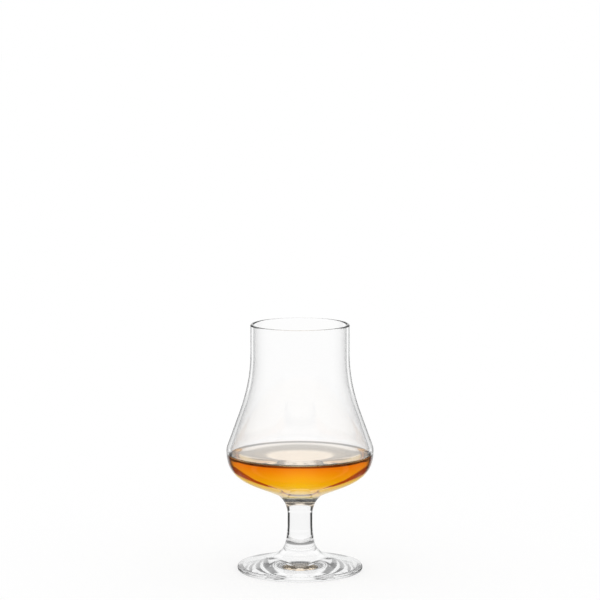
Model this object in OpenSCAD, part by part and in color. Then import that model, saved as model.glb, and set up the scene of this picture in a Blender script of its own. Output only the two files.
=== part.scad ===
// Whisky nosing glass holding one measure of whisky.
// A straight neck opens into a flared flank and a low, wide belly, so the drink
// spreads out below and its vapour gathers in the neck. The bowl has a thick base and
// stands on a short drawn stem and a disc foot. Every piece is turned about one axis.
// Millimetres, +Z up, origin on the table at the centre of the resting ring.

/* [Neck and rim] */
// Height from the table to the rim
glass_h = 115; // [105:0.5:135]
// Outer width of the straight neck
mouth_d = 45.9; // [40:0.1:54]
// Height of the straight neck below the rim
neck_h = 14.5; // [10:0.1:18]
// Thickness of the glass at the neck
neck_wall = 1.5; // [1:0.05:2]

/* [Flank and belly] */
// Outer width of the belly, the widest part of the glass
belly_d = 68.2; // [60:0.1:80]
// Height of the belly above the table
belly_z = 55.8; // [48:0.1:62]
// Radius that turns the flank into the lower bowl
belly_round = 8; // [5:0.1:12]
// Lean of the straight flank from upright, in degrees
flank_lean = 20; // [17:0.1:23]
// Length of the straight part of the flank
flank_len = 15.4; // [12:0.1:18]
// Thickness of the glass at the belly
belly_wall = 1.95; // [1.6:0.05:2.3]

/* [Lower bowl] */
// Outer width where the lower bowl turns down into the stem
base_d = 23; // [19:0.1:28]
// Height of that turn above the table
base_z = 35.65; // [32:0.05:40]
// Rise of the lower bowl at that turn, in degrees above level
base_rise = 24; // [18:0.1:30]
// Rise from that turn to the middle of the cavity, so the bowl has a thick solid base
floor_t = 7.25; // [6:0.05:8.5]

/* [Stem] */
// Width of the stem at its waist
stem_d = 11.8; // [9.5:0.1:14.5]
// Height of the waist above the table
stem_z = 26.4; // [22:0.1:30]
// Drop from the lower bowl's turn to the seam between bowl and stem
bowl_seam_drop = 2.2; // [1.5:0.1:3]

/* [Foot] */
// Width of the foot
foot_d = 58.1; // [48:0.1:70]
// Thickness of the foot at its edge
foot_edge = 2.1; // [1.6:0.05:2.6]
// Depth of the rounding on the foot's edge
foot_edge_round = 0.5; // [0.3:0.05:0.9]
// Slope of the foot's top at its edge, in degrees below level
foot_edge_fall = 9; // [6:0.1:12]
// Width where the foot's top turns up into the stem
spread_d = 25.5; // [21:0.1:31]
// Height of that turn above the table
spread_z = 6.45; // [5.3:0.05:7.7]
// Fall of the foot's top at that turn, in degrees below level
spread_fall = 18.5; // [14:0.1:23]
// Rise from that turn to the seam between stem and foot
foot_seam_rise = 3.2; // [2:0.1:4.5]
// Width of the flat ring that the glass stands on
rest_ring_w = 2.4; // [1.5:0.1:4]
// Depth of the shallow hollow under the foot
foot_hollow = 0.9; // [0.4:0.05:1.4]

/* [Whisky] */
// Depth of the whisky above the middle of the cavity
fill_depth = 10.95; // [7:0.05:15]
// Height that the whisky climbs at the glass
meniscus_h = 1.1; // [0.6:0.05:1.6]
// Distance over which that climb fades out
meniscus_w = 1; // [0.6:0.05:1.5]

/* [Hidden] */

// Fineness of the revolved surfaces and of each curved stretch of an outline
$fn = 180;
curve_steps = 16;
round_steps = 8;

// Handle lengths of each curve, first end then second, as shares of its chord
flare_shares = [0.40, 0.23];
lower_bowl_shares = [0.433, 0.467];
bowl_turn_shares = [0.31, 0.375];
stem_flare_shares = [0.526, 0.36];
foot_top_shares = [0.32, 0.20];
// The cavity below the belly, measured in the same way
cavity_shares = [0.43, 0.545];
// Width over which the whisky's climb is drawn, as a share of its fading distance
climb_share = 3;

// A point at distance l from p, in the direction a, in degrees from outward level
function step_from(p, a, l) = p + l * [cos(a), sin(a)];

// Points of a smooth curve that leaves p in direction a and arrives at q in direction b
function sweep_to(p, a, q, b, shares, n = curve_steps) =
    let (chord = norm(q - p),
         c = step_from(p, a, shares[0] * chord),
         d = step_from(q, b, -shares[1] * chord))
    [for (i = [1:n]) let (t = i / n, u = 1 - t)
        u * u * u * p + 3 * u * u * t * c + 3 * u * t * t * d + t * t * t * q];

// Points of an arc about c with radii rx and rz, from angle a to angle b, in degrees
function arc_to(c, rx, rz, a, b, n = round_steps) =
    [for (i = [1:n]) let (w = a + (b - a) * i / n) c + [rx * cos(w), rz * sin(w)]];

// Stations of the outer outline, from the rim down
neck_top = [mouth_d / 2, glass_h - neck_wall / 2];
neck_foot = [mouth_d / 2, glass_h - neck_h];
belly_centre = [belly_d / 2 - belly_round, belly_z];
flank_low = step_from(belly_centre, flank_lean, belly_round);
flank_top = step_from(flank_low, 90 + flank_lean, flank_len);
belly = [belly_d / 2, belly_z];
base_turn = [base_d / 2, base_z];
waist = [stem_d / 2, stem_z];
spread = [spread_d / 2, spread_z];
edge_top = [foot_d / 2 - foot_edge_round, foot_edge];
edge_centre = [foot_d / 2 - foot_edge_round, foot_edge / 2];

// Outer outline from the neck down the flank to the belly
flank_curve = concat(
    [neck_foot],
    sweep_to(neck_foot, -90, flank_top, flank_lean - 90, flare_shares),
    [flank_low],
    arc_to(belly_centre, belly_round, belly_round, flank_lean, 0));

// Outline of the lower bowl, the stem and the foot's top, down to the foot's edge
stand_curve = concat(
    sweep_to(belly, -90, base_turn, base_rise - 180, lower_bowl_shares),
    sweep_to(base_turn, base_rise - 180, waist, -90, bowl_turn_shares),
    sweep_to(waist, -90, spread, -spread_fall, stem_flare_shares),
    sweep_to(spread, -spread_fall, edge_top, -foot_edge_fall, foot_top_shares),
    arc_to(edge_centre, foot_edge_round, foot_edge / 2, 90, -90));

// The whole silhouette, closed along the axis
rim_centre = [mouth_d / 2 - neck_wall / 2, neck_top.y];
outer_outline = concat(
    [[0, glass_h], [rim_centre.x, glass_h]],
    arc_to(rim_centre, neck_wall / 2, neck_wall / 2, 90, 0),
    flank_curve,
    stand_curve,
    [[0, 0]]);

// Direction of the outer outline at a point, from the points on either side of it
function run_of(pts, i) = pts[min(i + 1, len(pts) - 1)] - pts[max(i - 1, 0)];

// The point i moved into the glass by w, square to the outline
function moved_in(pts, i, w) =
    let (d = run_of(pts, i), n = [d.y, -d.x] / norm(d)) pts[i] + w * n;

// Down the flank the cavity follows the outer curve, and the wall grows to the belly's
function wall_at(z) = lookup(z, [[belly_z, belly_wall], [neck_foot.y, neck_wall]]);

flank_inner = [for (i = [0:len(flank_curve) - 2])
    moved_in(flank_curve, i, wall_at(flank_curve[i].y))];

// Below the belly it leaves the outer curve and closes over the thick base
belly_inner = [belly_d / 2 - belly_wall, belly_z];
cavity_floor = [0, base_z + floor_t];

// The cavity, open past the rim by its own wall and closed along the axis
cavity_outline = concat(
    [[0, glass_h + neck_wall], [rim_centre.x, glass_h + neck_wall], [rim_centre.x, glass_h]],
    arc_to(rim_centre, neck_wall / 2, neck_wall / 2, 90, 180),
    flank_inner,
    [belly_inner],
    sweep_to(belly_inner, -90, cavity_floor, 180, cavity_shares));

// Seams where the hot pieces were joined
bowl_seam_z = base_z - bowl_seam_drop;
foot_seam_z = spread_z + foot_seam_rise;

// Half section of the solid glass between two heights
module glass_slice(low, high) {
    intersection() {
        polygon(outer_outline);
        translate([0, low]) square([belly_d, high - low]);
    }
}

// Thin-walled bowl, from the polished rim to the seam above the stem
module bowl() {
    color([0.86, 0.9, 0.91, 0.35])
    rotate_extrude()
    difference() {
        glass_slice(bowl_seam_z, glass_h);
        polygon(cavity_outline);
    }
}

// Solid stem, drawn in to a waist between its two seams
module stem() {
    color([0.84, 0.88, 0.9, 0.5])
    rotate_extrude()
    glass_slice(foot_seam_z, bowl_seam_z);
}

// Disc foot that falls to a thin rounded edge, hollowed below inside its resting ring
module foot() {
    hollow_r = foot_d / 2 - foot_edge_round - rest_ring_w;
    color([0.82, 0.87, 0.89, 0.5])
    rotate_extrude()
    difference() {
        glass_slice(0, foot_seam_z);
        polygon(concat([[0, 0]], [for (i = [0:curve_steps]) let (s = i / curve_steps)
            [hollow_r * s, foot_hollow * (1 - s * s)]]));
    }
}

// The measure of whisky, shaped by the cavity, with a level top that climbs at the glass
module whisky() {
    level_z = cavity_floor.y + fill_depth;
    wall_r = lookup(level_z, [for (p = cavity_outline) if (p.y < neck_foot.y) [p.y, p.x]]);
    climb = [for (i = [0:round_steps]) let (fades = climb_share * (1 - i / round_steps))
        [wall_r - meniscus_w * fades, level_z + meniscus_h * exp(-fades)]];
    color([0.9, 0.5, 0.08, 0.8])
    rotate_extrude()
    intersection() {
        polygon(cavity_outline);
        polygon(concat([[0, 0], [0, level_z]], climb, [[wall_r + belly_wall, level_z + meniscus_h],
            [wall_r + belly_wall, 0]]));
    }
}

bowl();
stem();
foot();
whisky();
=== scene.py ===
import math

import bpy
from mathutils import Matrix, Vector


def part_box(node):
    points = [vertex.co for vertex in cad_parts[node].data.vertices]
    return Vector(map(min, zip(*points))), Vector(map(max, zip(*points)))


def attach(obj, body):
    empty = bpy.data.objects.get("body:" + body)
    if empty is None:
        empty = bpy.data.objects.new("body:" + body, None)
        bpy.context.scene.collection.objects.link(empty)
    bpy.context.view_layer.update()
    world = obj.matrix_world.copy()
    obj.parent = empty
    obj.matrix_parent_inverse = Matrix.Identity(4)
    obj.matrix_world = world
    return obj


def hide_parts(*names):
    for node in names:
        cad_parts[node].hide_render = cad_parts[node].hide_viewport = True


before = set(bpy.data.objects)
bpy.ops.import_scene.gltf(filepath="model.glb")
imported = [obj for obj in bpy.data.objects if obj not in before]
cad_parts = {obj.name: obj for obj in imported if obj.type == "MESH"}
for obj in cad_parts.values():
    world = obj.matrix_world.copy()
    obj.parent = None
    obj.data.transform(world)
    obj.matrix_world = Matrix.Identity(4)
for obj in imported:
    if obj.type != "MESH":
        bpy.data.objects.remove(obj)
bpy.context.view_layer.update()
scene = bpy.context.scene


# Bowl. The thin vessel of the glass: a straight neck, a flared flank and a low, wide
# belly over a thick base. Clear crystal glass, blown in a mould, its rim melted round by
# a flame. It is fused to the stem while hot, so nothing shows where the two meet.

# Outlines are in millimetres, and each point is its radius and its height.
MM = 0.001
UP = Vector((0, 1))
DOWN = Vector((0, -1))
SAME_SPOT = 1e-6
TURN_STEPS = 256
CURVE_STEPS = 40
ARC_STEPS = 16
FLANK_STEPS = 8

glass_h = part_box("bowl")[1][2] / MM
mouth_r = 22.95
neck_h = 14.5
neck_wall = 1.5
belly_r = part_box("bowl")[1][0] / MM
belly_z = 55.8
belly_round = 8.0
flank_lean = 20.0
flank_len = 15.4
belly_wall = 1.95
base_r = 11.5
base_z = 35.65
base_rise = 24.0
floor_t = 7.25
bowl_seam_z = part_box("bowl")[0][2] / MM
waist_r = 5.9
waist_z = 26.4
fill_depth = 10.95
meniscus_h = 1.1

# Handle lengths of each curve, first end then second, as shares of its chord.
flare_shares = (0.40, 0.23)
lower_bowl_shares = (0.433, 0.467)
bowl_turn_shares = (0.31, 0.375)
cavity_shares = (0.43, 0.545)


def step_from(point, degrees, length):
    """The point that lies length away, in a direction counted from outward level."""
    angle = math.radians(degrees)
    return point + length * Vector((math.cos(angle), math.sin(angle)))


def sweep_to(start, leaves, end, arrives, shares):
    """Points of a smooth curve between two places, with its direction at each end."""
    chord = (end - start).length
    first = step_from(start, leaves, shares[0] * chord)
    second = step_from(end, arrives, -shares[1] * chord)
    points = []
    for i in range(1, CURVE_STEPS + 1):
        t = i / CURVE_STEPS
        u = 1 - t
        points.append(u**3 * start + 3 * u * u * t * first + 3 * u * t * t * second + t**3 * end)
    return points


def arc_to(centre, rx, rz, start, end):
    """Points of an arc between two angles, without its first point."""
    angles = [math.radians(start + (end - start) * i / ARC_STEPS) for i in range(1, ARC_STEPS + 1)]
    return [centre + Vector((rx * math.cos(a), rz * math.sin(a))) for a in angles]


def with_normals(points):
    """Pairs each point with the direction square to the outline, on its right-hand side."""
    rows = []
    last = len(points) - 1
    for i, point in enumerate(points):
        run = (points[min(i + 1, last)] - points[max(i - 1, 0)]).normalized()
        rows.append((point, Vector((run.y, -run.x))))
    return rows


def between(rows, low, high):
    """The stretch of an upward outline that lies between two heights, cut at both."""
    kept = []
    for (p, n), (q, m) in zip(rows, rows[1:]):
        if low <= p.y <= high:
            kept.append((p, n))
        for level in (low, high):
            if p.y < level < q.y:
                t = (level - p.y) / (q.y - p.y)
                kept.append((p.lerp(q, t), n.lerp(m, t).normalized()))
    if low <= rows[-1][0].y <= high:
        kept.append(rows[-1])
    return kept


def disc(z, radius, facing):
    """A level disc from the axis outwards if it faces down, or inwards if it faces up."""
    rows = [(Vector((0, z)), facing), (Vector((radius, z)), facing)]
    return rows if facing is DOWN else rows[::-1]


def swung(point, steps, unit=1.0):
    """A point or direction of an outline, swung about the axis by some of a turn's steps."""
    angle = 2 * math.pi * steps / TURN_STEPS
    return point.x * math.cos(angle) * unit, point.x * math.sin(angle) * unit, point.y * unit


def turned(name, stretches, materials):
    """A solid turned about the axis. Each stretch has its outline and its material's number."""
    corners = []
    faces = []
    face_slots = []
    corner_normals = []
    previous = None
    for rows, slot in stretches:
        rings = []
        for point, _ in rows:
            if previous is None or (point - previous).length >= SAME_SPOT:
                count = 1 if point.x < SAME_SPOT else TURN_STEPS
                ring = range(len(corners), len(corners) + count)
                corners += [swung(point, j, MM) for j in range(count)]
                previous = point
            rings.append(ring)
        for i in range(len(rows) - 1):
            for j in range(TURN_STEPS):
                spots = [(i, j), (i, j + 1), (i + 1, j + 1), (i + 1, j)]
                if len(rings[i]) == 1:
                    spots.remove((i, j + 1))
                elif len(rings[i + 1]) == 1:
                    spots.remove((i + 1, j + 1))
                faces.append([rings[row][step % len(rings[row])] for row, step in spots])
                corner_normals += [swung(rows[row][1], step) for row, step in spots]
                face_slots.append(slot)
    mesh = bpy.data.meshes.new(name)
    mesh.from_pydata(corners, [], faces)
    for material in materials:
        mesh.materials.append(material)
    mesh.polygons.foreach_set("material_index", face_slots)
    mesh.polygons.foreach_set("use_smooth", [True] * len(faces))
    mesh.normals_split_custom_set(corner_normals)
    piece = bpy.data.objects.new(name, mesh)
    scene.collection.objects.link(piece)
    return piece


def colour(hex_value):
    """An sRGB hex colour turned linear."""
    parts = [int(hex_value[i:i + 2], 16) / 255 for i in (0, 2, 4)]
    return [c / 12.92 if c <= 0.04045 else ((c + 0.055) / 1.055) ** 2.4 for c in parts] + [1.0]


def node(tree, kind, links=None, stops=(), **settings):
    """Adds a node with its settings and links. A ramp's stops are hex colours or numbers."""
    made = tree.nodes.new(kind)
    for key, value in settings.items():
        setattr(made, key, value)
    for socket, value in (links or {}).items():
        if isinstance(value, bpy.types.NodeSocket):
            tree.links.new(value, made.inputs[socket])
        else:
            made.inputs[socket].default_value = value
    if stops:
        elements = made.color_ramp.elements
        elements.remove(elements[1])
    for i, (at, shade) in enumerate(stops):
        stop = elements.new(at) if i else elements[0]
        stop.position = at
        stop.color = colour(shade) if isinstance(shade, str) else (shade, shade, shade, 1.0)
    return made


def new_material(name):
    """An empty node material and its tree."""
    material = bpy.data.materials.new(name)
    material.use_nodes = True
    material.node_tree.nodes.clear()
    return material, material.node_tree


GLASS_IOR = 1.5
WHISKY_IOR = 1.36

# Crystal glass, fire-polished and quite clear seen square on. Where the eye meets it at a low
# angle its colour has a painted shade, a little greyer, so that its edges stand out on a white ground.
crystal_glass, tree = new_material("crystal_glass")
lean = node(tree, "ShaderNodeLayerWeight")
# Painted shade: the glass's colour turns greyer towards its grazing edges.
painted_edge_shade = node(tree, "ShaderNodeValToRGB", {0: lean.outputs["Facing"]}, stops=[
    (0.0, "FFFFFF"), (0.7, "FFFFFF"), (1.0, "C8CCCB")])
glass = node(tree, "ShaderNodeBsdfPrincipled", {
    "Base Color": painted_edge_shade.outputs["Color"], "Roughness": 0.0, "IOR": GLASS_IOR, "Transmission Weight": 1.0})
node(tree, "ShaderNodeOutputMaterial", {"Surface": glass.outputs["BSDF"]})

# The same glass where the drink wets it: light bends less there than against the air, so
# the wall vanishes and the drink seems to fill the bowl to its outer face.
wetted_glass, tree = new_material("crystal_glass_wetted")
glass = node(tree, "ShaderNodeBsdfPrincipled", {
    "Base Color": colour("FFFFFF"), "Roughness": 0.0, "IOR": GLASS_IOR / WHISKY_IOR,
    "Transmission Weight": 1.0})
node(tree, "ShaderNodeOutputMaterial", {"Surface": glass.outputs["BSDF"]})

# Two hot pieces fused into one: light goes through the seam as if it weren't there.
fused_seam, tree = new_material("fused_seam")
clear = node(tree, "ShaderNodeBsdfTransparent")
node(tree, "ShaderNodeOutputMaterial", {"Surface": clear.outputs["BSDF"]})

neck_foot = Vector((mouth_r, glass_h - neck_h))
belly_centre = Vector((belly_r - belly_round, belly_z))
flank_low = step_from(belly_centre, flank_lean, belly_round)
flank_top = step_from(flank_low, 90 + flank_lean, flank_len)
belly = Vector((belly_r, belly_z))
base_turn = Vector((base_r, base_z))
waist = Vector((waist_r, waist_z))

flank_down = [neck_foot]
flank_down += sweep_to(neck_foot, -90, flank_top, flank_lean - 90, flare_shares)
flank_down += [flank_top.lerp(flank_low, i / FLANK_STEPS) for i in range(1, FLANK_STEPS + 1)]
flank_down += arc_to(belly_centre, belly_round, belly_round, flank_lean, 0)
lower_down = sweep_to(belly, -90, base_turn, base_rise - 180, lower_bowl_shares)
base_down = sweep_to(base_turn, base_rise - 180, waist, -90, bowl_turn_shares)

rim_centre = Vector((mouth_r - neck_wall / 2, glass_h - neck_wall / 2))
rim = [rim_centre + Vector((neck_wall / 2, 0))]
rim += arc_to(rim_centre, neck_wall / 2, neck_wall / 2, 0, 180)

# The cavity follows the flank, with a wall that grows to the belly's, and then leaves the
# outer face and closes over the thick base.
cavity_down = []
for point, normal in with_normals(flank_down)[:-1]:
    share = (point.y - belly_z) / (neck_foot.y - belly_z)
    cavity_down.append(point + normal * (belly_wall + (neck_wall - belly_wall) * share))
cavity_down.append(Vector((belly_r - belly_wall, belly_z)))
cavity_floor = Vector((0, base_z + floor_t))
cavity_down += sweep_to(cavity_down[-1], -90, cavity_floor, 180, cavity_shares)

outer_down = flank_down + lower_down + base_down
outline = with_normals(outer_down[::-1] + rim + cavity_down)
rim_top = len(outer_down) + ARC_STEPS // 2
level_z = cavity_floor.y + fill_depth
contact_z = level_z + meniscus_h
bowl_outer = between(outline[:rim_top + 1], bowl_seam_z, glass_h)
cavity_up = outline[rim_top:][::-1]
cavity_up[0] = (cavity_floor, UP)
dry_cavity = between(cavity_up, contact_z, glass_h)[::-1]
wet_cavity = between(cavity_up, cavity_floor.y, contact_z)[::-1]

bowl = turned("nosing_bowl", [
    (disc(bowl_seam_z, bowl_outer[0][0].x, DOWN), 1),
    (bowl_outer, 0),
    (dry_cavity, 0),
    (wet_cavity, 2),
], [crystal_glass, fused_seam, wetted_glass])
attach(bowl, "root")
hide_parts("bowl")

# Stem. A short solid rod, drawn out of hot glass so that it narrows to a waist, and
# fused to the bowl above and to the foot below. The same clear crystal glass.
foot_seam_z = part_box("stem")[0][2] / MM
spread_r = 12.75
spread_z = 6.45
spread_fall = 18.5
stem_flare_shares = (0.526, 0.36)

spread = Vector((spread_r, spread_z))
spread_down = sweep_to(waist, -90, spread, -spread_fall, stem_flare_shares)
stem_outer = between(with_normals((base_down + spread_down)[::-1]), foot_seam_z, bowl_seam_z)
stem = turned("drawn_stem", [
    (disc(foot_seam_z, stem_outer[0][0].x, DOWN), 1),
    (stem_outer, 0),
    (disc(bowl_seam_z, stem_outer[-1][0].x, UP), 1),
], [crystal_glass, fused_seam])
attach(stem, "root")
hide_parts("stem")

# Foot. A disc pressed from a hot gob, with a thin rounded edge. Its underside is
# hollowed a little, so that the glass stands on a narrow ring and doesn't rock.
foot_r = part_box("foot")[1][0] / MM
foot_edge = 2.1
foot_edge_round = 0.5
foot_edge_fall = 9.0
rest_ring_w = 2.4
foot_hollow = 0.9
foot_top_shares = (0.32, 0.20)

edge_top = Vector((foot_r - foot_edge_round, foot_edge))
edge_centre = Vector((foot_r - foot_edge_round, foot_edge / 2))
foot_down = sweep_to(spread, -spread_fall, edge_top, -foot_edge_fall, foot_top_shares)
foot_down += arc_to(edge_centre, foot_edge_round, foot_edge / 2, 90, -90)
foot_outer = between(with_normals((spread_down + foot_down)[::-1]), 0, foot_seam_z)

hollow_r = foot_r - foot_edge_round - rest_ring_w
hollow = []
for i in range(CURVE_STEPS + 1):
    share = i / CURVE_STEPS
    slope = Vector((2 * foot_hollow * share / hollow_r, 1)).normalized()
    hollow.append((Vector((hollow_r * share, foot_hollow * (1 - share * share))), -slope))
rest_ring = [(Vector((hollow_r, 0)), DOWN), (Vector((edge_centre.x, 0)), DOWN)]

foot = turned("disc_foot", [
    (hollow, 0),
    (rest_ring, 0),
    (foot_outer, 0),
    (disc(foot_seam_z, foot_outer[-1][0].x, UP), 1),
], [crystal_glass, fused_seam])
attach(foot, "root")
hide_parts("foot")

# Whisky. One measure of clear amber spirit, level but for the edge, where it climbs
# the glass a little. It wets the bowl, so the light passes from one to the other.
meniscus_w = 1.0
climb_reach = 5.0
dye_density = 50.0

# A gap too thin to see keeps the face of the drink apart from the glass.
skin = 0.02
wet_up = [(p + n * skin, -n) for p, n in wet_cavity[::-1]]
wall_r = wet_up[-1][0].x
top = [(wet_up[-1][0], Vector((-meniscus_h / meniscus_w, 1)).normalized())]
for i in range(1, ARC_STEPS + 1):
    fades = climb_reach * i / ARC_STEPS
    slope = meniscus_h / meniscus_w * math.exp(-fades)
    point = Vector((wall_r - meniscus_w * fades, level_z + meniscus_h * math.exp(-fades)))
    top.append((point, Vector((-slope, 1)).normalized()))
top.append((Vector((0, level_z)), UP))

# Whisky, a clear liquid. Its free surface bends and mirrors light, its wetted side lets it
# pass to the glass, and its depth tints it a pale amber, which warm cards deepen.
amber_whisky, tree = new_material("amber_whisky")
mask = node(tree, "ShaderNodeAttribute", attribute_name="free_surface")
surface = node(tree, "ShaderNodeBsdfPrincipled", {
    "Base Color": colour("FFFFFF"), "Roughness": 0.0, "IOR": WHISKY_IOR, "Transmission Weight": 1.0})
wet = node(tree, "ShaderNodeBsdfTransparent")
mixed = node(tree, "ShaderNodeMixShader", {
    0: mask.outputs["Fac"], 1: wet.outputs["BSDF"], 2: surface.outputs["BSDF"]})
dye = node(tree, "ShaderNodeVolumeAbsorption", {"Color": colour("FFE7BC"), "Density": dye_density})
node(tree, "ShaderNodeOutputMaterial", {
    "Surface": mixed.outputs["Shader"], "Volume": dye.outputs["Volume"]})

whisky = turned("whisky_measure", [(wet_up, 0), (top, 0)], [amber_whisky])
wet_faces = (len(wet_up) - 1) * TURN_STEPS
marks = whisky.data.attributes.new("free_surface", "FLOAT", "FACE")
for face in whisky.data.polygons:
    marks.data[face.index].value = float(face.index >= wet_faces)
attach(whisky, "root")
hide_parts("whisky")

# Studio. A plain white floor in a white tent, with soft light from all sides. Grey, black
# and warm cards stand around and above the glass. Unlike real ones, each shows only to
# light that has met the glass or the drink in one way, and never straight to the eye.
FLOOR_R = 6.0
FLOOR_STEPS = 64

# The colour sockets of a Mix node: its two inputs and its output.
MIX_A = 6
MIX_B = 7
MIXED = 2


def ray_kinds(tree):
    """Tells how light has come, by the faces and seams it crossed and its turns inside."""
    path = node(tree, "ShaderNodeLightPath")
    faces = path.outputs["Transmission Depth"]
    seams = path.outputs["Transparent Depth"]
    turns = path.outputs["Glossy Depth"]
    kinds = {"bent": path.outputs["Is Transmission Ray"]}
    mirrored = node(tree, "ShaderNodeMath", {0: path.outputs["Is Glossy Ray"], 1: kinds["bent"]},
                    operation="SUBTRACT", use_clamp=True)
    kinds["mirrored"] = mirrored.outputs[0]
    counts = (
        ("up to two faces", faces, "LESS_THAN", 2.5),
        ("four faces", faces, "COMPARE", 4.0),
        ("four or more faces", faces, "GREATER_THAN", 3.5),
        ("five or more faces", faces, "GREATER_THAN", 4.5),
        ("two seams", seams, "COMPARE", 2.0),
        ("three or more seams", seams, "GREATER_THAN", 2.5),
        ("turned", turns, "GREATER_THAN", 0.5),
        ("turned once", turns, "COMPARE", 1.0),
        ("turned often", turns, "GREATER_THAN", 2.5),
    )
    for kind, count, test, limit in counts:
        kinds[kind] = node(tree, "ShaderNodeMath", {0: count, 1: limit, 2: 0.5}, operation=test).outputs[0]
    pairs = (
        # Through a stem, a foot or a dry wall, and turned back inside it.
        ("solid", "up to two faces", "bent", "MULTIPLY"),
        ("solid turned", "solid", "turned", "MULTIPLY"),
        ("solid once", "solid", "turned once", "MULTIPLY"),
        ("solid often", "solid", "turned often", "MULTIPLY"),
        # Through the drink from one side to the other, and turned back by its surface.
        ("wet sides", "four faces", "two seams", "MULTIPLY"),
        ("side", "wet sides", "bent", "MULTIPLY"),
        ("side turned", "side", "turned", "MULTIPLY"),
        # Through the drink's surface.
        ("top", "five or more faces", "bent", "MULTIPLY"),
        ("top turned", "top", "turned", "MULTIPLY"),
        # Through the drink and the thick base under it.
        ("drink", "four or more faces", "bent", "MULTIPLY"),
        ("drink and seams", "drink", "three or more seams", "MULTIPLY"),
        ("straight or turned", "four faces", "turned", "MAXIMUM"),
        ("base", "drink and seams", "straight or turned", "MULTIPLY"),
    )
    for kind, first, second, joined in pairs:
        both = node(tree, "ShaderNodeMath", {0: kinds[first], 1: kinds[second]}, operation=joined)
        kinds[kind] = both.outputs[0]
    return kinds


def turn_of(tree, spot):
    """A place's turn from straight behind the glass, as a share of half a turn."""
    turn = node(tree, "ShaderNodeMath", {0: spot.outputs["X"], 1: spot.outputs["Y"]}, operation="ARCTAN2")
    aside = node(tree, "ShaderNodeMath", {0: turn.outputs[0]}, operation="ABSOLUTE")
    share = node(tree, "ShaderNodeMath", {0: aside.outputs[0], 1: 1 / math.pi}, operation="MULTIPLY")
    return share.outputs[0]


def by_turn(*stops):
    """Stops of a ramp over that share, given in degrees."""
    return [(degrees / 180, tone) for degrees, tone in stops]


def card(tree, shader, shown, kind, tone):
    """Puts a card in front of what is shown, for one kind of light."""
    face = node(tree, shader, {"Color": tone, "Strength": 1.0})
    return node(tree, "ShaderNodeMixShader", {0: kind, 1: shown, 2: face.outputs[0]}).outputs[0]


def blended(tree, over, tone, further):
    """Blends one tone into the next, each over a stretch of a distance or a height."""
    for start, end, next_tone in further:
        blend = node(tree, "ShaderNodeMapRange", {0: over, 1: start, 2: end})
        tones = {0: blend.outputs[0], MIX_A: tone, MIX_B: next_tone}
        tone = node(tree, "ShaderNodeMix", tones, data_type="RGBA").outputs[MIXED]
    return tone


# The light mirrored by the outer face meets these grey cards, far off behind the glass.
FAR_GREYS = by_turn(
    (0, "FFFFFF"), (10, "F9F9F9"), (14, "959595"), (20, "8E8E8E"), (32, "656565"), (50, "505050"),
    (78, "595959"), (100, "EDEDED"))

# White paper, matt: it keeps the shadow of the glass and is nearly white itself. The cards
# on it are told apart by their turn and by how far they lie from the glass, in metres.
PAPER_GLOW = 0.7
white_paper, tree = new_material("white_paper")
kinds = ray_kinds(tree)
matt = node(tree, "ShaderNodeBsdfDiffuse", {"Color": colour("959595")})
glow = node(tree, "ShaderNodeEmission", {"Color": colour("FFFFFF"), "Strength": PAPER_GLOW})
paper = node(tree, "ShaderNodeAddShader", {0: matt.outputs["BSDF"], 1: glow.outputs["Emission"]})
place = node(tree, "ShaderNodeNewGeometry").outputs["Position"]
spot = node(tree, "ShaderNodeSeparateXYZ", {0: place})
away = node(tree, "ShaderNodeVectorMath", {0: place}, operation="LENGTH").outputs["Value"]
turn = turn_of(tree, spot)

# The stem shows black cards at both sides, from beside the foot, and narrower further off.
SIDES_FROM = 0.034
NARROW_FROM = 0.19
sides = node(tree, "ShaderNodeValToRGB", {0: turn}, stops=by_turn(
    (39, "FFFFFF"), (43, "454545"), (62, "303030"), (67, "FFFFFF")))
narrow = node(tree, "ShaderNodeValToRGB", {0: turn}, stops=by_turn(
    (50, "FFFFFF"), (53, "454545"), (62, "303030"), (67, "FFFFFF")))
further = node(tree, "ShaderNodeMath", {0: away, 1: NARROW_FROM}, operation="GREATER_THAN")
tone = node(tree, "ShaderNodeMix", {
    0: further.outputs[0], MIX_A: sides.outputs["Color"], MIX_B: narrow.outputs["Color"]},
    data_type="RGBA")
past_foot = node(tree, "ShaderNodeMath", {0: away, 1: SIDES_FROM}, operation="GREATER_THAN")
seen = node(tree, "ShaderNodeMath", {0: kinds["solid"], 1: past_foot.outputs[0]}, operation="MULTIPLY")
shown = card(tree, "ShaderNodeEmission", paper.outputs[0], seen.outputs[0], tone.outputs[MIXED])

# The foot shows the paper under it with a painted shadow, dark under and in front of the glass and
# white behind it, and the wall's edge shows two cards behind it, the belly's in front of the neck's.
UNDER_FRONT = -0.01
UNDER_BACK = 0.03
depth = node(tree, "ShaderNodeMapRange", {0: spot.outputs["Y"], 1: UNDER_FRONT, 2: UNDER_BACK})
# A painted shadow on the paper, seen through the foot: dark under and in front of the glass.
painted_shadow_under = node(tree, "ShaderNodeValToRGB", {0: depth.outputs[0]}, stops=[
    (0.0, "3F3F3F"), (0.475, "A2A2A2"), (0.56, "F9F9F9"), (0.8, "FFFFFF"), (1.0, "EDEDED")])
belly_card = node(tree, "ShaderNodeValToRGB", {0: turn}, stops=by_turn(
    (28, "FFFFFF"), (34, "616161"), (60, "595959"), (72, "CBCBCB")))
neck_card = node(tree, "ShaderNodeValToRGB", {0: turn}, stops=by_turn(
    (30, "FFFFFF"), (36, "EBEBEB"), (42, "616161"), (60, "595959"), (72, "CBCBCB")))
tone = blended(tree, away, painted_shadow_under.outputs["Color"], [
    (0.199, 0.201, belly_card.outputs["Color"]), (0.42, 0.47, neck_card.outputs["Color"])])
shown = card(tree, "ShaderNodeEmission", shown, kinds["solid turned"], tone)

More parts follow.
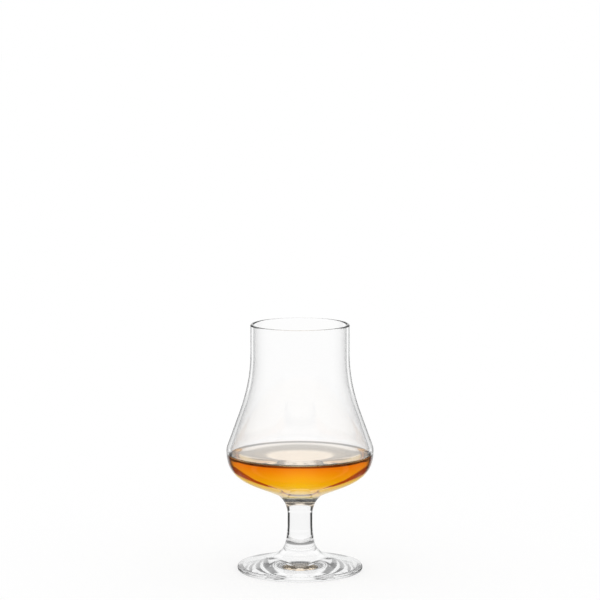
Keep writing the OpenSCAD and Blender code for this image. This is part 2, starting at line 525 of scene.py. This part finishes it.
# The drink's surface shows a grey ring on the paper, with white inside and outside it.
RING_IN = 0.06
RING_OUT = 0.13
span = node(tree, "ShaderNodeMapRange", {0: away, 1: RING_IN, 2: RING_OUT})
ring = node(tree, "ShaderNodeValToRGB", {0: span.outputs[0]}, stops=[
    ((radius - RING_IN) / (RING_OUT - RING_IN), tone) for radius, tone in (
        (0.066, "F8F6F4"), (0.072, "F9F9F9"), (0.074, "EBEBEB"), (0.0755, "CDCDCD"),
        (0.0775, "AAAAAA"), (0.1, "A5A5A5"), (0.115, "EDEDED"), (0.125, "FFFFFF"))])
shown = card(tree, "ShaderNodeEmission", shown, kinds["top"], ring.outputs["Color"])

# The drink itself shows a warm card, from side to side. The thick base shows a dark ring
# and, beyond a white one, dark paper.
warm = node(tree, "ShaderNodeValToRGB", {0: away}, stops=[(0.6, "FFFB30"), (0.9, "594000")])
shown = card(tree, "ShaderNodeEmission", shown, kinds["side"], warm.outputs["Color"])
rings = node(tree, "ShaderNodeValToRGB", {0: away}, stops=[
    (0.03, "F3F3F3"), (0.05, "616161"), (0.13, "616161"), (0.16, "E4FCFF"), (0.28, "E4FCFF"),
    (0.34, "616161")])
shown = card(tree, "ShaderNodeEmission", shown, kinds["base"], rings.outputs["Color"])

# Mirrored light: the paper is grey close by, black beside the glass and grey far off. A
# white gap in the furthest greys draws the light line inside the neck's edge.
close = node(tree, "ShaderNodeValToRGB", {0: turn}, stops=by_turn(
    (5, "F9F9F9"), (12, "E1E1E1"), (20, "C4C4C4"), (35, "B3B3B3"), (50, "959595"), (60, "959595"),
    (75, "272727")))
beside = node(tree, "ShaderNodeValToRGB", {0: turn}, stops=by_turn(
    (30, "F9F9F9"), (37, "BCBCBC"), (41, "6C6C6C"), (45, "383838"), (60, "272727")))
far = node(tree, "ShaderNodeValToRGB", {0: turn}, stops=FAR_GREYS)
gap = node(tree, "ShaderNodeValToRGB", {0: turn}, stops=by_turn(
    (0, "FFFFFF"), (10, "F9F9F9"), (14, "959595"), (20, "7C7C7C"), (30, "656565"), (34, "FFFFFF"),
    (40, "FFFFFF"), (46, "8E8E8E"), (60, "595959"), (78, "595959"), (100, "EDEDED")))
tone = blended(tree, away, close.outputs["Color"], [
    (0.085, 0.105, beside.outputs["Color"]), (0.24, 0.45, far.outputs["Color"]),
    (0.5, 0.6, gap.outputs["Color"])])
shown = card(tree, "ShaderNodeEmission", shown, kinds["mirrored"], tone)
node(tree, "ShaderNodeOutputMaterial", {"Surface": shown})

floor_mesh = bpy.data.meshes.new("floor")
angles = [2 * math.pi * j / FLOOR_STEPS for j in range(FLOOR_STEPS)]
floor_edge = [(FLOOR_R * math.cos(a), FLOOR_R * math.sin(a), 0) for a in angles]
floor_mesh.from_pydata(floor_edge, [], [range(FLOOR_STEPS)])
floor_mesh.materials.append(white_paper)
floor = bpy.data.objects.new("floor", floor_mesh)
scene.collection.objects.link(floor)

# The tent is white cloth. Its cards are told apart by their turn and by their height,
# which is the sine of how far up they are seen.
tent = bpy.data.worlds.new("white_tent")
tent.use_nodes = True
scene.world = tent
tree = tent.node_tree
tree.nodes.clear()
kinds = ray_kinds(tree)
cloth = node(tree, "ShaderNodeBackground", {"Color": colour("FFFFFF"), "Strength": 1.0})
place = node(tree, "ShaderNodeTexCoord").outputs["Generated"]
spot = node(tree, "ShaderNodeSeparateXYZ", {0: place})
height = spot.outputs["Z"]
turn = turn_of(tree, spot)

# Stem and foot: black cards at both sides and one overhead.
sides = node(tree, "ShaderNodeValToRGB", {0: turn}, stops=by_turn(
    (39, "FFFFFF"), (43, "454545"), (62, "303030"), (68, "959595"), (100, "A0A0A0"), (125, "EDEDED")))
overhead = node(tree, "ShaderNodeValToRGB", {0: height}, stops=[(0.66, "FFFFFF"), (0.76, "616161")])
tone = node(tree, "ShaderNodeMix", {
    0: 1.0, MIX_A: sides.outputs["Color"], MIX_B: overhead.outputs["Color"]},
    data_type="RGBA", blend_type="DARKEN")
shown = card(tree, "ShaderNodeBackground", cloth.outputs[0], kinds["solid"], tone.outputs[MIXED])

# The foot, where it turns light back many times: a low grey card behind at each side.
where = node(tree, "ShaderNodeValToRGB", {0: turn}, stops=by_turn(
    (20, 0.0), (26, 1.0), (42, 1.0), (48, 0.0)))
seen = node(tree, "ShaderNodeMath", {0: kinds["solid often"], 1: where.outputs["Color"]},
            operation="MULTIPLY")
tone = node(tree, "ShaderNodeValToRGB", {0: height}, stops=[
    (0.0, "FFFFFF"), (0.05, "7C7C7C"), (0.3, "7C7C7C"), (0.36, "FFFFFF")])
shown = card(tree, "ShaderNodeBackground", shown, seen.outputs[0], tone.outputs["Color"])

# The dry wall's edge, where it turns light back once: lower cards, a little paler.
where = node(tree, "ShaderNodeValToRGB", {0: height}, stops=[(0.12, 1.0), (0.2, 0.0)])
seen = node(tree, "ShaderNodeMath", {0: kinds["solid once"], 1: where.outputs["Color"]},
            operation="MULTIPLY")
tone = node(tree, "ShaderNodeValToRGB", {0: turn}, stops=by_turn(
    (28, "FFFFFF"), (34, "AAAAAA"), (60, "959595"), (72, "CBCBCB")))
shown = card(tree, "ShaderNodeBackground", shown, seen.outputs[0], tone.outputs["Color"])

# The same light from the front of the room: white cloth, so that no card shows in the bowl.
where = node(tree, "ShaderNodeValToRGB", {0: turn}, stops=by_turn((140, 0.0), (146, 1.0)))
seen = node(tree, "ShaderNodeMath", {0: kinds["solid once"], 1: where.outputs["Color"]},
            operation="MULTIPLY")
shown = card(tree, "ShaderNodeBackground", shown, seen.outputs[0], colour("FFFFFF"))

# Up through the drink's surface: a dark card overhead.
tone = node(tree, "ShaderNodeValToRGB", {0: height}, stops=[(0.55, "FFFFFF"), (0.65, "595959")])
shown = card(tree, "ShaderNodeBackground", shown, kinds["top turned"], tone.outputs["Color"])

# The drink from side to side: a warm card that is deepest at the horizon and at the sides.
warm = node(tree, "ShaderNodeValToRGB", {0: height}, stops=[
    (math.sin(math.radians(degrees)), tone) for degrees, tone in (
        (3, "F9AA00"), (6, "F9AD00"), (7, "FAB700"), (9, "FFCB00"), (10, "FFD700"), (11, "FFE700"),
        (12, "FFF800"), (15, "FFFF00"))])
deeper = node(tree, "ShaderNodeValToRGB", {0: turn}, stops=by_turn(
    (2, "FFFFFF"), (9, "FCEFFF"), (19, "F6DBFF"), (32, "F3CDFF"), (47, "F3C4FF"), (52, "AA89FF"),
    (56, "593FFF"), (78, "593FFF"), (92, "F9E7FF")))
warm_card = node(tree, "ShaderNodeMix", {
    0: 1.0, MIX_A: warm.outputs["Color"], MIX_B: deeper.outputs["Color"]},
    data_type="RGBA", blend_type="MULTIPLY")

# A narrow dark card leans across it, low at the sides and high in the middle.
STRIP_FOOT = (-0.003, 0.004)
STRIP_HEAD = (0.036, 0.05)
strip = node(tree, "ShaderNodeValToRGB", {0: turn}, stops=by_turn(
    (7.5, 0.346), (11.2, 0.269), (14, 0.241), (17.8, 0.222), (20.2, 0.212), (22.9, 0.206), (25, 0.198),
    (28.5, 0.191), (37, 0.182), (43, 0.178), (78, 0.178), (88, 0.6)))
above = node(tree, "ShaderNodeMath", {0: height, 1: strip.outputs["Color"]}, operation="SUBTRACT")
lower = node(tree, "ShaderNodeMapRange", {0: above.outputs[0], 1: STRIP_FOOT[0], 2: STRIP_FOOT[1]})
upper = node(tree, "ShaderNodeMapRange", {
    0: above.outputs[0], 1: STRIP_HEAD[0], 2: STRIP_HEAD[1], 3: 1.0, 4: 0.0})
inside = node(tree, "ShaderNodeMath", {0: lower.outputs[0], 1: upper.outputs[0]}, operation="MULTIPLY")
strip_tone = node(tree, "ShaderNodeValToRGB", {0: turn}, stops=by_turn(
    (6, "816945"), (9, "B56100"), (27, "B15900"), (35, "993F00"), (47, "903800"), (52, "3F2700")))
crossed = node(tree, "ShaderNodeMix", {
    0: inside.outputs[0], MIX_A: warm_card.outputs[MIXED], MIX_B: strip_tone.outputs["Color"]},
    data_type="RGBA")

# Below it the horizon is dark, and more so at the sides.
HORIZON_SOFT = 0.006
horizon = node(tree, "ShaderNodeValToRGB", {0: turn}, stops=by_turn(
    (0, 0.095), (25, 0.108), (38, 0.116), (43, 0.13), (48, 0.145), (78, 0.15), (88, 0.0)))
below = node(tree, "ShaderNodeMath", {0: horizon.outputs["Color"], 1: height}, operation="SUBTRACT")
dusk = node(tree, "ShaderNodeValToRGB", {0: turn}, stops=by_turn((11, "814500"), (21, "452100")))
tone = blended(tree, below.outputs[0], crossed.outputs[MIXED], [
    (-HORIZON_SOFT, HORIZON_SOFT, dusk.outputs["Color"])])
shown = card(tree, "ShaderNodeBackground", shown, kinds["side"], tone)

# The same light, turned back by the drink's surface from below: dark brown.
shown = card(tree, "ShaderNodeBackground", shown, kinds["side turned"], colour("593F19"))

# The thick base: dark but for a white card behind the camera and a low white ring.
rear = node(tree, "ShaderNodeValToRGB", {0: turn}, stops=by_turn((130, "595959"), (155, "FFFFFF")))
low = node(tree, "ShaderNodeValToRGB", {0: height}, stops=[
    (0.3, "595959"), (0.33, "EDEDED"), (0.47, "EDEDED"), (0.52, "595959")])
tone = node(tree, "ShaderNodeMix", {
    0: 1.0, MIX_A: rear.outputs["Color"], MIX_B: low.outputs["Color"]},
    data_type="RGBA", blend_type="LIGHTEN")
shown = card(tree, "ShaderNodeBackground", shown, kinds["base"], tone.outputs[MIXED])

# Mirrored light: grey cards low down and in the roof behind the glass, with white cloth
# between them and in front.
low = node(tree, "ShaderNodeValToRGB", {0: turn}, stops=FAR_GREYS)
roof = node(tree, "ShaderNodeValToRGB", {0: turn}, stops=by_turn((60, "7C7C7C"), (100, "FFFFFF")))
tone = blended(tree, height, low.outputs["Color"], [
    (0.25, 0.4, colour("FFFFFF")), (0.64, 0.7, roof.outputs["Color"])])
shown = card(tree, "ShaderNodeBackground", shown, kinds["mirrored"], tone)
node(tree, "ShaderNodeOutputWorld", {"Surface": shown})

# Clear glass and drink pass light on from face to face many times.
scene.cycles.max_bounces = 32
scene.cycles.transmission_bounces = 32
scene.cycles.glossy_bounces = 16
scene.cycles.transparent_max_bounces = 32

# Camera. At the photograph's angle, a little above the rim, with a long lens.
camera_far = 1.3
camera_high = 0.28945
camera_tilt = 7.16
focal_px = 2844.5
frame_px = 600
film_w = 36
lens = bpy.data.cameras.new("camera")
lens.sensor_width = film_w
lens.lens = focal_px / frame_px * film_w
camera = bpy.data.objects.new("camera", lens)
camera.location = (0, -camera_far, camera_high)
camera.rotation_euler = (math.radians(90 - camera_tilt), 0, 0)
scene.collection.objects.link(camera)
scene.camera = camera

scene.view_settings.view_transform = "Standard"
bpy.context.view_layer.update()
